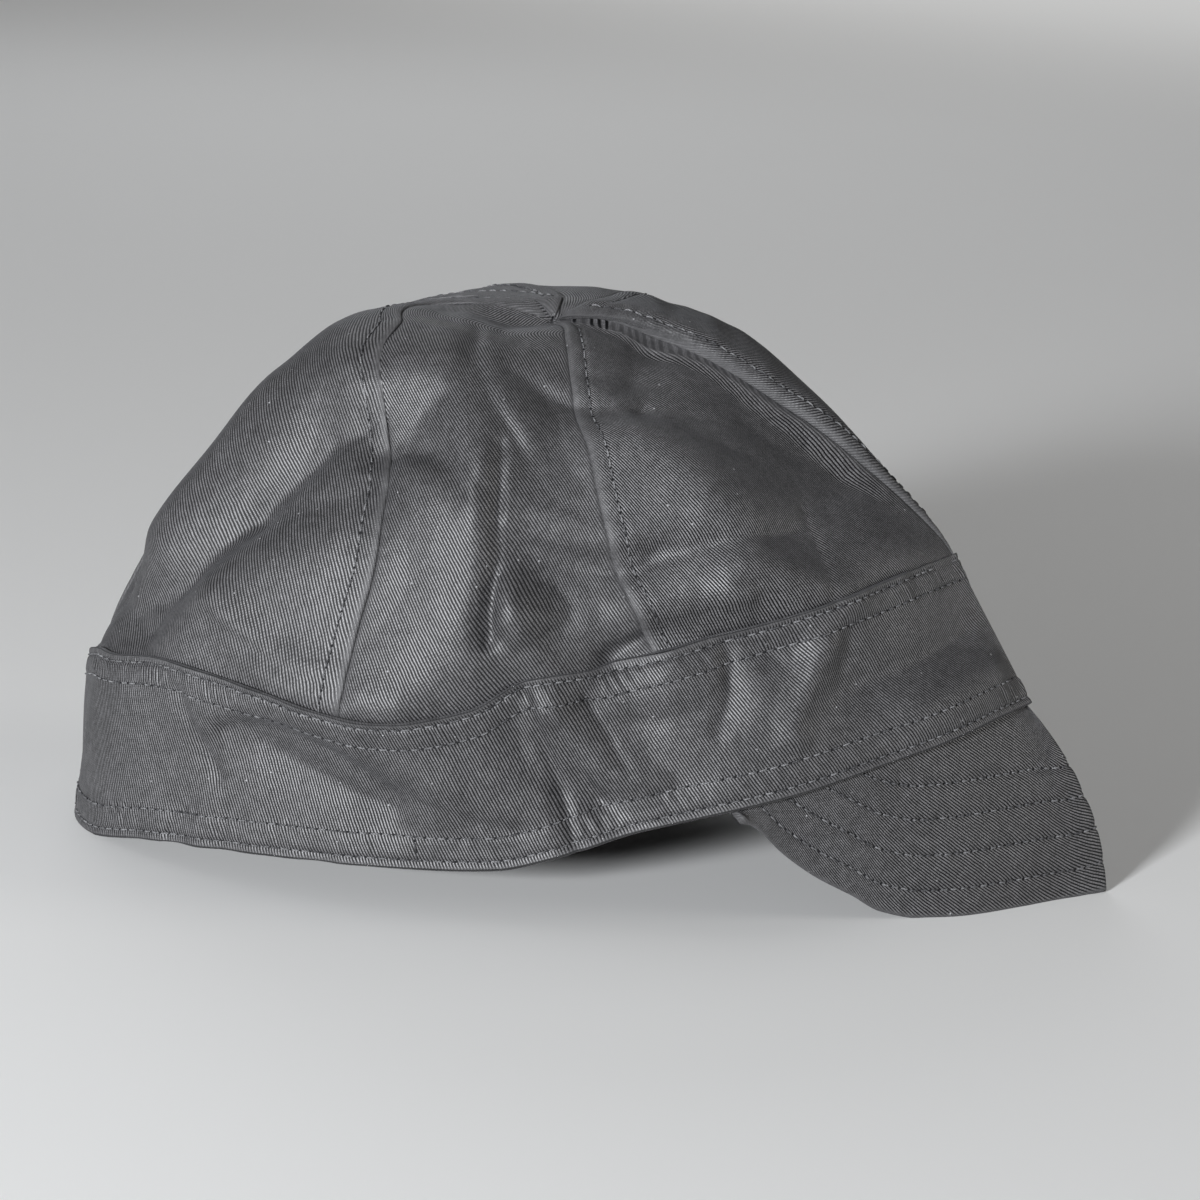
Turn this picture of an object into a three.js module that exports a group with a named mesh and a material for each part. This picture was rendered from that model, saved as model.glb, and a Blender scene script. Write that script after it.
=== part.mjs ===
import * as THREE from 'three';

// Millimetres. +X is the front, +Z is up, and the wearer's right side faces -Y.

// Plan of the rim and of the band's top edge
const RIM_LENGTH = 236.4;
const RIM_WIDTH = 128;
const BAND_TOP_LENGTH = 210.9;
const BAND_TOP_WIDTH = 124;
const BAND_TOP_SETBACK = 9.2;

// Heights
const RIM_FRONT_RISE = 47.5;
const BAND_DEPTH = 42.5;
const APEX_HEIGHT = 137;

// Place of the crown's top, behind and to the near side of the rim's centre
const APEX_SETBACK = 5.4;
const APEX_SHIFT = 6;

// How far the far side of the crown swells above its plain section
const FAR_PUFF = 2.2;

// Cloth and the space between pieces
const PANEL_WALL = 1.2;
const BAND_WALL = 1.6;
const VISOR_WALL = 2.4;
const PIECE_GAP = 0.3;

// How far the crown's edge runs down behind the band, and the visor's edge up behind it
const PANEL_LAP = 6;
const VISOR_TUCK = 7;

// Share of the crown's climb over which it comes out to the band's outer face
const STEP_FADE = 0.22;

// Visor
const VISOR_HALF_ANGLE = 65;
const VISOR_REACH = 23.3;
const VISOR_TURN_IN = 6.3;
const VISOR_BULGE = 4.5;

// Largest fold, as a unit for the tables of folds
const FOLD_WIDTH = 10;
const FOLD_DEPTH = 4;
const FOLD_SIDE_FADE = 8;

// Share of the crown's climb where the gores stop short of their meeting point
const GORE_TIP = 0.993;

// Mesh density
const PANEL_COLUMNS = 16;
const CREASED_COLUMNS = 24;
const PLAIN_COLUMNS = 10;
const CROWN_ROWS = 16;
const BAND_ROWS = 7;
const VISOR_COLUMNS = 16;
const VISOR_ROWS = 6;
const TUCK_ROWS = 2;

// Spacing of columns beside the front fold, closer together away from it
const FOLD_SPACING = 0.55;

// Steps used to measure the surface's slope
const ANGLE_STEP = 8;
const LEVEL_STEP = 0.03;
const TIP_LEVEL = 1.97;

const RIM_CENTRE_X = -VISOR_REACH / 2;
const FULL_TURN = 360;
const HALF_TURN = 180;

// Sections round the cap: angle from the front in degrees, the near side at 90
// rise: rim height in RIM_FRONT_RISE, depth: band height in BAND_DEPTH
// sharp: exponent of the plan, run and climb: exponents of the crown's profile
const SECTIONS = [
  { angle: 0, rise: 1.0, depth: 0.84, sharp: 1.95, run: 1.72, climb: 0.97 },
  { angle: 20, rise: 0.975, depth: 0.845, sharp: 1.75, run: 1.78, climb: 1.02 },
  { angle: 40, rise: 0.886, depth: 0.86, sharp: 1.45, run: 1.85, climb: 1.2 },
  { angle: 60, rise: 0.707, depth: 0.868, sharp: 1.15, run: 1.95, climb: 1.5 },
  { angle: 75, rise: 0.535, depth: 0.868, sharp: 1.0, run: 2.0, climb: 1.75 },
  { angle: 85, rise: 0.377, depth: 0.967, sharp: 1.0, run: 2.05, climb: 1.85 },
  { angle: 92, rise: 0.276, depth: 0.89, sharp: 1.0, run: 2.1, climb: 1.9 },
  { angle: 103, rise: 0.229, depth: 0.84, sharp: 1.0, run: 2.15, climb: 1.9 },
  { angle: 120, rise: 0.179, depth: 0.962, sharp: 1.0, run: 2.2, climb: 1.75 },
  { angle: 140, rise: 0.099, depth: 1.06, sharp: 0.9, run: 2.35, climb: 1.4 },
  { angle: 160, rise: 0, depth: 1.08, sharp: 0.8, run: 2.5, climb: 1.15 },
  { angle: 180, rise: 0, depth: 0.95, sharp: 0.75, run: 2.6, climb: 1.09 },
  { angle: 200, rise: 0, depth: 1.06, sharp: 0.8, run: 2.55, climb: 1.08 },
  { angle: 220, rise: 0.099, depth: 1.04, sharp: 0.9, run: 2.55, climb: 1.28 },
  { angle: 240, rise: 0.179, depth: 1.0, sharp: 1.0, run: 2.8, climb: 1.7 },
  { angle: 257, rise: 0.229, depth: 0.97, sharp: 1.0, run: 3.1, climb: 2.2 },
  { angle: 275, rise: 0.377, depth: 0.94, sharp: 1.0, run: 3.1, climb: 2.3 },
  { angle: 285, rise: 0.535, depth: 0.9, sharp: 1.0, run: 3.0, climb: 2.25 },
  { angle: 300, rise: 0.707, depth: 0.868, sharp: 1.15, run: 2.9, climb: 2.05 },
  { angle: 320, rise: 0.886, depth: 0.86, sharp: 1.45, run: 2.55, climb: 1.65 },
  { angle: 340, rise: 0.975, depth: 0.845, sharp: 1.75, run: 2.05, climb: 1.25 },
  { angle: 360, rise: 1.0, depth: 0.84, sharp: 1.95, run: 1.72, climb: 0.97 },
];

// Seams of the crown, in degrees round from the front seam, by share of the climb
const SEAMS = [
  { climb: 0, frontRight: 68.5, backRight: 108, back: 180, backLeft: 251, frontLeft: 291.5 },
  { climb: 0.12, frontRight: 71, backRight: 107.7, back: 180, backLeft: 251, frontLeft: 291 },
  { climb: 0.25, frontRight: 74, backRight: 107, back: 180, backLeft: 251, frontLeft: 290.5 },
  { climb: 0.4, frontRight: 75.8, backRight: 109.5, back: 180, backLeft: 251, frontLeft: 290 },
  { climb: 0.5, frontRight: 76.6, backRight: 114.5, back: 182, backLeft: 251, frontLeft: 290 },
  { climb: 0.6, frontRight: 78, backRight: 121, back: 185, backLeft: 251, frontLeft: 290 },
  { climb: 0.7, frontRight: 77.8, backRight: 131.5, back: 191, backLeft: 252, frontLeft: 290 },
  { climb: 0.8, frontRight: 76.8, backRight: 147, back: 203, backLeft: 254, frontLeft: 291.5 },
  { climb: 0.87, frontRight: 75, backRight: 180, back: 218, backLeft: 258, frontLeft: 295 },
  { climb: 0.93, frontRight: 69, backRight: 190, back: 232, backLeft: 267, frontLeft: 303 },
  { climb: 1, frontRight: 58, backRight: 205, back: 245, backLeft: 280, frontLeft: 315 },
];

// Lower edge of the visor by angle along the rim
// forward in VISOR_REACH, inward in VISOR_TURN_IN, drop in the rim's height there
const VISOR_EDGE = [
  { angle: 0, forward: 1.0, inward: 0, drop: 0.98 },
  { angle: 8, forward: 0.66, inward: -0.78, drop: 1 },
  { angle: 16, forward: 0.42, inward: -1.25, drop: 1 },
  { angle: 24, forward: 0.36, inward: -0.95, drop: 1 },
  { angle: 32, forward: 0.27, inward: -0.54, drop: 1 },
  { angle: 39, forward: 0.17, inward: 0.06, drop: 0.995 },
  { angle: 45, forward: 0.09, inward: 0.6, drop: 0.94 },
  { angle: 50, forward: 0.08, inward: 0.94, drop: 0.81 },
  { angle: 55, forward: 0.02, inward: 0.98, drop: 0.64 },
  { angle: 59, forward: 0.03, inward: 0.87, drop: 0.456 },
  { angle: 62.5, forward: 0.03, inward: 0.56, drop: 0.206 },
  { angle: 65, forward: 0.08, inward: 0.33, drop: 0.05 },
];

// Folds on the near side as curves in the side view, x in RIM_LENGTH and z in APEX_HEIGHT
// width in FOLD_WIDTH and depth in FOLD_DEPTH, below zero for a valley
const CROWN_FOLDS = [
  { from: [-0.139, 0.966], via: [-0.101, 0.811], to: [-0.082, 0.627], width: 0.55, depth: -0.9 },
  { from: [-0.082, 0.627], via: [-0.082, 0.52], to: [-0.05, 0.43], width: 0.5, depth: -1.0 },
  { from: [-0.168, 0.74], via: [-0.15, 0.612], to: [-0.153, 0.465], width: 1.1, depth: 0.8 },
  { from: [-0.214, 0.806], via: [-0.194, 0.761], to: [-0.122, 0.729], width: 0.55, depth: -0.6 },
  { from: [-0.104, 0.949], via: [-0.064, 0.918], to: [-0.03, 0.891], width: 0.65, depth: -0.6 },
  { from: [-0.078, 0.75], via: [-0.058, 0.655], to: [-0.036, 0.544], width: 0.6, depth: 0.5 },
  { from: [-0.033, 0.501], via: [-0.006, 0.48], to: [0.026, 0.511], width: 0.6, depth: -0.4 },
  { from: [-0.22, 0.947], via: [-0.162, 0.98], to: [-0.075, 0.988], width: 0.6, depth: -0.3 },
  { from: [-0.26, 0.831], via: [-0.337, 0.685], to: [-0.446, 0.391], width: 0.7, depth: -0.9 },
  { from: [-0.293, 0.821], via: [-0.369, 0.682], to: [-0.417, 0.561], width: 0.6, depth: 0.5 },
  { from: [-0.346, 0.496], via: [-0.291, 0.474], to: [-0.238, 0.462], width: 0.8, depth: 0.4 },
  { from: [-0.438, 0.46], via: [-0.391, 0.482], to: [-0.349, 0.43], width: 0.6, depth: -0.3 },
  { from: [-0.027, 0.901], via: [0.106, 0.878], to: [0.284, 0.699], width: 0.8, depth: -0.5 },
  { from: [0.051, 0.753], via: [0.176, 0.731], to: [0.298, 0.642], width: 0.8, depth: 0.3 },
  { from: [0.054, 0.577], via: [0.093, 0.533], to: [0.147, 0.51], width: 0.6, depth: -0.3 },
];
const BAND_FOLDS = [
  { from: [-0.05, 0.43], via: [-0.024, 0.34], to: [0.006, 0.144], width: 0.4, depth: -0.7 },
  { from: [-0.02, 0.38], via: [-0.009, 0.351], to: [0.003, 0.3], width: 0.3, depth: 0.3 },
  { from: [0.011, 0.385], via: [0.036, 0.339], to: [0.052, 0.29], width: 0.3, depth: -0.3 },
  { from: [0.003, 0.358], via: [0.018, 0.312], to: [0.032, 0.249], width: 0.3, depth: 0.3 },
  { from: [-0.354, 0.261], via: [-0.301, 0.299], to: [-0.243, 0.262], width: 0.4, depth: -0.4 },
  { from: [-0.313, 0.257], via: [-0.22, 0.217], to: [-0.128, 0.155], width: 0.5, depth: -0.45 },
  { from: [-0.305, 0.275], via: [-0.231, 0.245], to: [-0.17, 0.207], width: 0.4, depth: 0.3 },
  { from: [0.392, 0.5], via: [0.362, 0.48], to: [0.333, 0.459], width: 0.5, depth: -0.25 },
];
const FOLDS = [...CROWN_FOLDS, ...BAND_FOLDS];

// Smooth value of one column of a table at a key, without overshoot between rows
function columnAt(table, key, column, at) {
  let i = 0;
  while (i < table.length - 2 && at > table[i + 1][key]) {
    i += 1;
  }
  const slope = (k) => (table[k + 1][column] - table[k][column]) / (table[k + 1][key] - table[k][key]);
  const tangent = (k) => {
    if (k === 0) {
      return slope(0);
    }
    if (k === table.length - 1) {
      return slope(k - 1);
    }
    const before = slope(k - 1);
    const after = slope(k);
    return before * after <= 0 ? 0 : (2 * before * after) / (before + after);
  };
  const span = table[i + 1][key] - table[i][key];
  const u = THREE.MathUtils.clamp((at - table[i][key]) / span, 0, 1);
  const h00 = (1 + 2 * u) * (1 - u) ** 2;
  const h10 = u * (1 - u) ** 2;
  const h01 = u * u * (3 - 2 * u);
  const h11 = u * u * (u - 1);
  return h00 * table[i][column] + h10 * span * tangent(i)
    + h01 * table[i + 1][column] + h11 * span * tangent(i + 1);
}

function sectionAt(angle) {
  const turn = THREE.MathUtils.euclideanModulo(angle, FULL_TURN);
  const read = (column) => columnAt(SECTIONS, 'angle', column, turn);
  return {
    rimHeight: read('rise') * RIM_FRONT_RISE,
    bandHeight: read('depth') * BAND_DEPTH,
    sharp: read('sharp'),
    run: read('run'),
    climb: read('climb'),
  };
}

// Point of a lens-shaped plan: sharp at the front, round at the back
function planPoint(angle, length, width, centreX, height, sharp) {
  const radians = THREE.MathUtils.degToRad(angle);
  const across = Math.sign(Math.sin(radians)) * Math.abs(Math.sin(radians)) ** sharp;
  return new THREE.Vector3(centreX + (length / 2) * Math.cos(radians), -(width / 2) * across, height);
}

// Smooth outer face of the cap: level 0 is the rim, 1 the band's top edge, 2 the crown's top
function facePoint(angle, level) {
  const section = sectionAt(angle);
  const topHeight = section.rimHeight + section.bandHeight;
  const topCentreX = RIM_CENTRE_X - BAND_TOP_SETBACK;
  const rim = planPoint(angle, RIM_LENGTH, RIM_WIDTH, RIM_CENTRE_X, section.rimHeight, section.sharp);
  const top = planPoint(angle, BAND_TOP_LENGTH, BAND_TOP_WIDTH, topCentreX, topHeight, section.sharp);
  if (level <= 1) {
    return rim.lerp(top, level);
  }
  const quarter = (Math.min(level - 1, 1) * Math.PI) / 2;
  const out = Math.max(Math.cos(quarter), 0) ** (2 / section.run);
  const up = Math.sin(quarter) ** (2 / section.climb);
  const farSide = Math.max(-Math.sin(THREE.MathUtils.degToRad(angle)), 0);
  const puff = FAR_PUFF * farSide * Math.sin(Math.PI * out ** 0.8) ** 2;
  const apexX = RIM_CENTRE_X - APEX_SETBACK;
  return new THREE.Vector3(
    apexX + (top.x - apexX) * out,
    -APEX_SHIFT + (top.y + APEX_SHIFT) * out,
    top.z + (APEX_HEIGHT - top.z) * up + puff,
  );
}

// Outward direction of the smooth face
function faceNormal(angle, level) {
  const at = Math.min(level, TIP_LEVEL);
  const around = facePoint(angle + ANGLE_STEP, at).sub(facePoint(angle - ANGLE_STEP, at));
  const upward = facePoint(angle, at + LEVEL_STEP).sub(facePoint(angle, at - LEVEL_STEP));
  return upward.cross(around).normalize();
}

function foldCurve(row) {
  const place = ([x, z]) => new THREE.Vector2(x * RIM_LENGTH, z * APEX_HEIGHT);
  const from = place(row.from);
  const to = place(row.to);
  const bend = place(row.via).multiplyScalar(2).sub(from.clone().add(to).multiplyScalar(0.5));
  return new THREE.QuadraticBezierCurve(from, bend, to).getPoints(12);
}

function distanceToPath(x, z, path) {
  let nearest = Infinity;
  for (let i = 0; i < path.length - 1; i += 1) {
    const step = path[i + 1].clone().sub(path[i]);
    const along = ((x - path[i].x) * step.x + (z - path[i].y) * step.y) / step.lengthSq();
    const t = THREE.MathUtils.clamp(along, 0, 1);
    nearest = Math.min(nearest, Math.hypot(x - path[i].x - t * step.x, z - path[i].y - t * step.y));
  }
  return nearest;
}

const FOLD_PATHS = FOLDS.map((row) => ({ ...row, path: foldCurve(row) }));

// Height of the folds above the smooth face at one of its points
function foldHeight(point) {
  const nearSide = THREE.MathUtils.smoothstep(-point.y, 0, FOLD_SIDE_FADE);
  if (nearSide === 0) {
    return 0;
  }
  let height = 0;
  for (const fold of FOLD_PATHS) {
    const reach = distanceToPath(point.x, point.z, fold.path) / (fold.width * FOLD_WIDTH);
    height += fold.depth * FOLD_DEPTH * Math.exp(-reach * reach);
  }
  return height * nearSide;
}

// Point inside the folded outer face by a depth, never below the floor
function clothPoint(angle, level, depth) {
  const point = facePoint(angle, level);
  const lift = foldHeight(point) - depth;
  point.addScaledVector(faceNormal(angle, level), lift);
  point.z = Math.max(point.z, 0);
  return point;
}

// Closed body between two sheets of points, rows[i][j], joined along their edges
function closedBody(outer, inner, closesRound) {
  const rows = outer.length;
  const columns = outer[0].length;
  const positions = [];
  for (const sheet of [outer, inner]) {
    for (const row of sheet) {
      for (const point of row) {
        positions.push(point.x, point.y, point.z);
      }
    }
  }
  const outerAt = (i, j) => i * columns + (j % columns);
  const innerAt = (i, j) => rows * columns + i * columns + (j % columns);
  const indices = [];
  const quad = (a, b, c, d) => indices.push(a, c, b, a, d, c);
  const spans = closesRound ? columns : columns - 1;
  for (let i = 0; i < rows - 1; i += 1) {
    for (let j = 0; j < spans; j += 1) {
      quad(outerAt(i, j), outerAt(i, j + 1), outerAt(i + 1, j + 1), outerAt(i + 1, j));
      quad(innerAt(i, j), innerAt(i + 1, j), innerAt(i + 1, j + 1), innerAt(i, j + 1));
    }
  }
  for (let j = 0; j < spans; j += 1) {
    quad(innerAt(0, j), innerAt(0, j + 1), outerAt(0, j + 1), outerAt(0, j));
    quad(outerAt(rows - 1, j), outerAt(rows - 1, j + 1), innerAt(rows - 1, j + 1), innerAt(rows - 1, j));
  }
  if (!closesRound) {
    const last = columns - 1;
    for (let i = 0; i < rows - 1; i += 1) {
      quad(outerAt(i, 0), outerAt(i + 1, 0), innerAt(i + 1, 0), innerAt(i, 0));
      quad(innerAt(i, last), innerAt(i + 1, last), outerAt(i + 1, last), outerAt(i, last));
    }
  }
  const geometry = new THREE.BufferGeometry();
  geometry.setAttribute('position', new THREE.Float32BufferAttribute(positions, 3));
  geometry.setIndex(indices);
  geometry.computeVertexNormals();
  return geometry;
}

// Share across a panel to share of its angle, wider steps beside the front fold
function spacing(share, frontFold) {
  if (frontFold === 'first') {
    return share ** FOLD_SPACING;
  }
  if (frontFold === 'last') {
    return 1 - (1 - share) ** FOLD_SPACING;
  }
  return share;
}

function seamAngle(name, level) {
  if (name === 'front') {
    return 0;
  }
  if (name === 'frontEnd') {
    return FULL_TURN;
  }
  return columnAt(SEAMS, 'climb', name, Math.max(level - 1, 0));
}

// Depth of the crown's outer face behind the band's, fading out above the band
function crownStep(level) {
  const fade = THREE.MathUtils.smoothstep(level - 1, 0, STEP_FADE);
  return (BAND_WALL + PIECE_GAP) * (1 - fade);
}

function panelAngles(panel, level) {
  const from = seamAngle(panel.from, level);
  const to = seamAngle(panel.to, level);
  const angles = [];
  for (let j = 0; j <= panel.columns; j += 1) {
    angles.push(from + (to - from) * spacing(j / panel.columns, panel.frontFold));
  }
  return angles;
}

// Place in a row of points, counted in points, that lies a distance from its start
function placeAlong(row, distance) {
  let left = distance;
  for (let j = 0; j < row.length - 1; j += 1) {
    const step = row[j].distanceTo(row[j + 1]);
    if (left <= step) {
      return j + left / step;
    }
    left -= step;
  }
  return (row.length - 1) / 2;
}

function pointBetween(row, place) {
  const j = Math.min(Math.floor(place), row.length - 2);
  return row[j].clone().lerp(row[j + 1], place - j);
}

// Draws both sheets of a panel back from its seams by half the gap between pieces
function trimToSeams(outer, inner) {
  const trim = PIECE_GAP / 2;
  const last = outer[0].length - 1;
  for (let i = 0; i < outer.length; i += 1) {
    const sheets = [outer[i], inner[i]];
    const start = Math.max(...sheets.map((row) => placeAlong(row, trim)));
    const end = last - Math.max(...sheets.map((row) => placeAlong([...row].reverse(), trim)));
    for (const sheet of [outer, inner]) {
      sheet[i] = sheet[i].map((_, j) => pointBetween(sheet[i], start + ((end - start) * j) / last));
    }
  }
}

function crownPanel(panel) {
  const levels = [1 - PANEL_LAP / BAND_DEPTH];
  for (let i = 0; i <= CROWN_ROWS; i += 1) {
    levels.push(1 + (GORE_TIP * i) / CROWN_ROWS);
  }
  const sheet = (wall) => levels.map((level) => panelAngles(panel, level)
    .map((angle) => clothPoint(angle, level, crownStep(level) + wall)));
  const outer = sheet(0);
  const inner = sheet(PANEL_WALL);
  trimToSeams(outer, inner);
  return closedBody(outer, inner, false);
}

const PANELS = [
  { side: 'front_right', from: 'front', to: 'frontRight', columns: PANEL_COLUMNS, frontFold: 'first' },
  { side: 'middle_right', from: 'frontRight', to: 'backRight', columns: CREASED_COLUMNS },
  { side: 'back_right', from: 'backRight', to: 'back', columns: PANEL_COLUMNS },
  { side: 'back_left', from: 'back', to: 'backLeft', columns: PLAIN_COLUMNS },
  { side: 'middle_left', from: 'backLeft', to: 'frontLeft', columns: PLAIN_COLUMNS },
  { side: 'front_left', from: 'frontLeft', to: 'frontEnd', columns: PLAIN_COLUMNS, frontFold: 'last' },
];

// Band: one closed ring whose columns follow those of the panels behind it
function band() {
  const angles = [];
  for (const panel of PANELS) {
    const from = seamAngle(panel.from, 1);
    const to = seamAngle(panel.to, 1);
    for (let j = 0; j < panel.columns; j += 1) {
      angles.push(from + (to - from) * spacing(j / panel.columns, panel.frontFold));
    }
  }
  const sheet = (wall) => {
    const rows = [];
    for (let i = 0; i <= BAND_ROWS; i += 1) {
      rows.push(angles.map((angle) => clothPoint(angle, i / BAND_ROWS, wall)));
    }
    return rows;
  };
  return closedBody(sheet(0), sheet(BAND_WALL), true);
}

// Lower edge of the visor at a signed angle from the front fold
function visorEdgePoint(angle) {
  const at = Math.abs(angle);
  const read = (column) => columnAt(VISOR_EDGE, 'angle', column, at);
  const rim = facePoint(angle, 0);
  return new THREE.Vector3(
    rim.x + read('forward') * VISOR_REACH,
    rim.y + Math.sign(angle) * read('inward') * VISOR_TURN_IN,
    rim.z * (1 - read('drop')),
  );
}

// Flat visor between the rim, drop 0, and its lower edge, drop 1
function visorFlatPoint(angle, drop) {
  const root = clothPoint(angle, 0, BAND_WALL + PIECE_GAP);
  return root.lerp(visorEdgePoint(angle), drop);
}

function visorNormal(angle, drop) {
  const step = LEVEL_STEP;
  const around = visorFlatPoint(angle + ANGLE_STEP, drop).sub(visorFlatPoint(angle - ANGLE_STEP, drop));
  const down = visorFlatPoint(angle, drop + step).sub(visorFlatPoint(angle, drop - step));
  return around.cross(down).normalize();
}

function visorPoint(angle, drop, wall) {
  const side = 1 - Math.abs(angle) / VISOR_HALF_ANGLE;
  const bulge = VISOR_BULGE * 4 * drop * (1 - drop) * side ** 1.5;
  const point = visorFlatPoint(angle, drop).addScaledVector(visorNormal(angle, drop), bulge - wall);
  point.z = Math.max(point.z, 0);
  return point;
}

function visor() {
  const angles = [];
  for (let j = -VISOR_COLUMNS; j <= VISOR_COLUMNS; j += 1) {
    const share = Math.abs(j) / VISOR_COLUMNS;
    angles.push(Math.sign(j) * VISOR_HALF_ANGLE * share ** FOLD_SPACING);
  }
  const sheet = (wall) => {
    const rows = [];
    for (let i = TUCK_ROWS; i >= 1; i -= 1) {
      const level = (VISOR_TUCK / BAND_DEPTH) * (i / TUCK_ROWS);
      rows.push(angles.map((angle) => clothPoint(angle, level, BAND_WALL + PIECE_GAP + wall)));
    }
    for (let i = 0; i <= VISOR_ROWS; i += 1) {
      rows.push(angles.map((angle) => visorPoint(angle, i / VISOR_ROWS, wall)));
    }
    return rows.reverse();
  };
  return closedBody(sheet(0), sheet(VISOR_WALL), false);
}

const CLOTH = {
  crown: new THREE.Color(0x3b3b3e),
  band: new THREE.Color(0x404043),
  visor: new THREE.Color(0x3c3c3f),
};

function clothMesh(name, geometry, color) {
  const material = new THREE.MeshStandardMaterial({ color, roughness: 0.95, metalness: 0 });
  const mesh = new THREE.Mesh(geometry, material);
  mesh.name = name;
  return mesh;
}

const cap = new THREE.Group();
for (const panel of PANELS) {
  cap.add(clothMesh(`crown_panel_${panel.side}`, crownPanel(panel), CLOTH.crown));
}
cap.add(clothMesh('band', band(), CLOTH.band));
cap.add(clothMesh('visor', visor(), CLOTH.visor));

export default cap;
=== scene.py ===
"""Welding cap of charcoal cotton twill: six crown gores, a deep band and a short soft visor."""
import math
from collections import namedtuple

import bpy
import numpy as np
from mathutils import Matrix, Vector


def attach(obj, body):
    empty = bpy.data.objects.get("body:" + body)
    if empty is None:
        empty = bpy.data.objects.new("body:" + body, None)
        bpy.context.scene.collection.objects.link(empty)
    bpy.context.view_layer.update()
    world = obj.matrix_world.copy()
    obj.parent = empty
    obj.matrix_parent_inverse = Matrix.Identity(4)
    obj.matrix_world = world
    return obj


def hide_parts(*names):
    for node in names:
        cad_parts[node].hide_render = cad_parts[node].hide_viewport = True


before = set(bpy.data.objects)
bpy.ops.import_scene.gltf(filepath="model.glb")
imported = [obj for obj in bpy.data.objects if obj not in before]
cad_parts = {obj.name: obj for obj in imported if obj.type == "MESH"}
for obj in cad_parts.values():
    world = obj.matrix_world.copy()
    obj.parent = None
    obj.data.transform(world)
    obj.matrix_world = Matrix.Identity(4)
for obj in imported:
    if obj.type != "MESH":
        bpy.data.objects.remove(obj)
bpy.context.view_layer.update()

# Lengths are in millimetres until a mesh is made. +X is the front, +Z is up,
# and the wearer's right side faces -Y.
MM = 0.001

# One unit of the cloth's flat map
MAP_UNIT = 100.0

# Plan of the rim and of the band's top edge
RIM_LENGTH = 236.4
RIM_WIDTH = 128.0
BAND_TOP_LENGTH = 210.9
BAND_TOP_WIDTH = 124.0
BAND_TOP_SETBACK = 9.2

# Heights
RIM_FRONT_RISE = 47.5
BAND_DEPTH = 42.5
APEX_HEIGHT = 137.0

# Place of the crown's top, and the swell of the far side
APEX_SETBACK = 5.4
APEX_SHIFT = 6.0
FAR_PUFF = 2.2

# Cloth: walls, and how far one piece reaches behind another
PANEL_WALL = 1.1
BAND_WALL = 1.6
TOP_EDGE_WALL = 0.75
TOP_EDGE_REACH = 5.0
VISOR_WALL = 2.4
PIECE_GAP = 0.3
PANEL_LAP = 6.0
VISOR_TUCK = 7.0

# The crown lies behind the band's outer face and comes out above it
CROWN_STEP = 1.0
STEP_FADE = 0.22
GORE_TIP = 0.9985

# Visor
VISOR_HALF_ANGLE = 65.0
VISOR_REACH = 23.3
VISOR_TURN_IN = 6.3
VISOR_BULGE = 4.5
RIM_CENTRE_X = -VISOR_REACH / 2

# Folds fade out over this distance towards the middle of the cap
FOLD_SIDE_FADE = 8.0
# Valleys are half soft trough and half crease, narrower and rounded at its bottom
CREASE_ROUND = 0.7
CREASE_WIDTH = 0.6
CREASE_SHARE = 0.5

# Steps that measure the surface's slope, and the highest level where it is measured
ANGLE_STEP = 8.0
LEVEL_STEP = 0.03
TIP_LEVEL = 1.97

# Mesh spacing on the near side and on the far side, closer at seams and edges
NEAR_STEP = 0.95
FAR_STEP = 1.25
SEAM_COLUMNS = np.array([0, 0.35, 0.8, 1.4, 2.1])
SEAM_MARGIN = 2.9
BAND_NEAR_STEP = 0.72
BAND_FAR_STEP = 1.05
BAND_ROW_STEP = 0.9
BAND_HEIGHT = 38.0
EDGE_ROWS = np.array([0, 0.25, 0.55, 0.9, 1.25, 1.6, 1.95, 2.4, 3.0])
VISOR_STEP = 0.85
VISOR_EDGE_ROWS = np.array([0, 0.008, 0.02, 0.035])


def table(names, rows):
    """Named columns of a short table."""
    return dict(zip(names.split(), np.array(rows, float).T))


# Round the cap: the rim's rise as a share of RIM_FRONT_RISE, the band's depth as a share of
# BAND_DEPTH, how pointed the plan is, and how full the crown swells outward and upward
SECTIONS = table("angle rise depth sharp run climb", [
    (0, 1.0, 0.84, 1.95, 1.72, 0.97),
    (20, 0.975, 0.845, 1.75, 1.78, 1.02),
    (40, 0.886, 0.86, 1.45, 1.85, 1.2),
    (60, 0.707, 0.868, 1.15, 1.95, 1.5),
    (75, 0.535, 0.868, 1.0, 2.0, 1.75),
    (85, 0.377, 0.967, 1.0, 2.05, 1.85),
    (92, 0.276, 0.89, 1.0, 2.1, 1.9),
    (103, 0.229, 0.84, 1.0, 2.15, 1.9),
    (120, 0.179, 0.962, 1.0, 2.2, 1.75),
    (140, 0.099, 1.06, 0.9, 2.35, 1.4),
    (160, 0, 1.08, 0.8, 2.5, 1.15),
    (180, 0, 0.95, 0.75, 2.6, 1.09),
    (200, 0, 1.06, 0.8, 2.55, 1.08),
    (220, 0.099, 1.04, 0.9, 2.55, 1.28),
    (240, 0.179, 1.0, 1.0, 2.8, 1.7),
    (257, 0.229, 0.97, 1.0, 3.1, 2.2),
    (275, 0.377, 0.94, 1.0, 3.1, 2.3),
    (285, 0.535, 0.9, 1.0, 3.0, 2.25),
    (300, 0.707, 0.868, 1.15, 2.9, 2.05),
    (320, 0.886, 0.86, 1.45, 2.55, 1.65),
    (340, 0.975, 0.845, 1.75, 2.05, 1.25),
    (360, 1.0, 0.84, 1.95, 1.72, 0.97),
])

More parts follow.
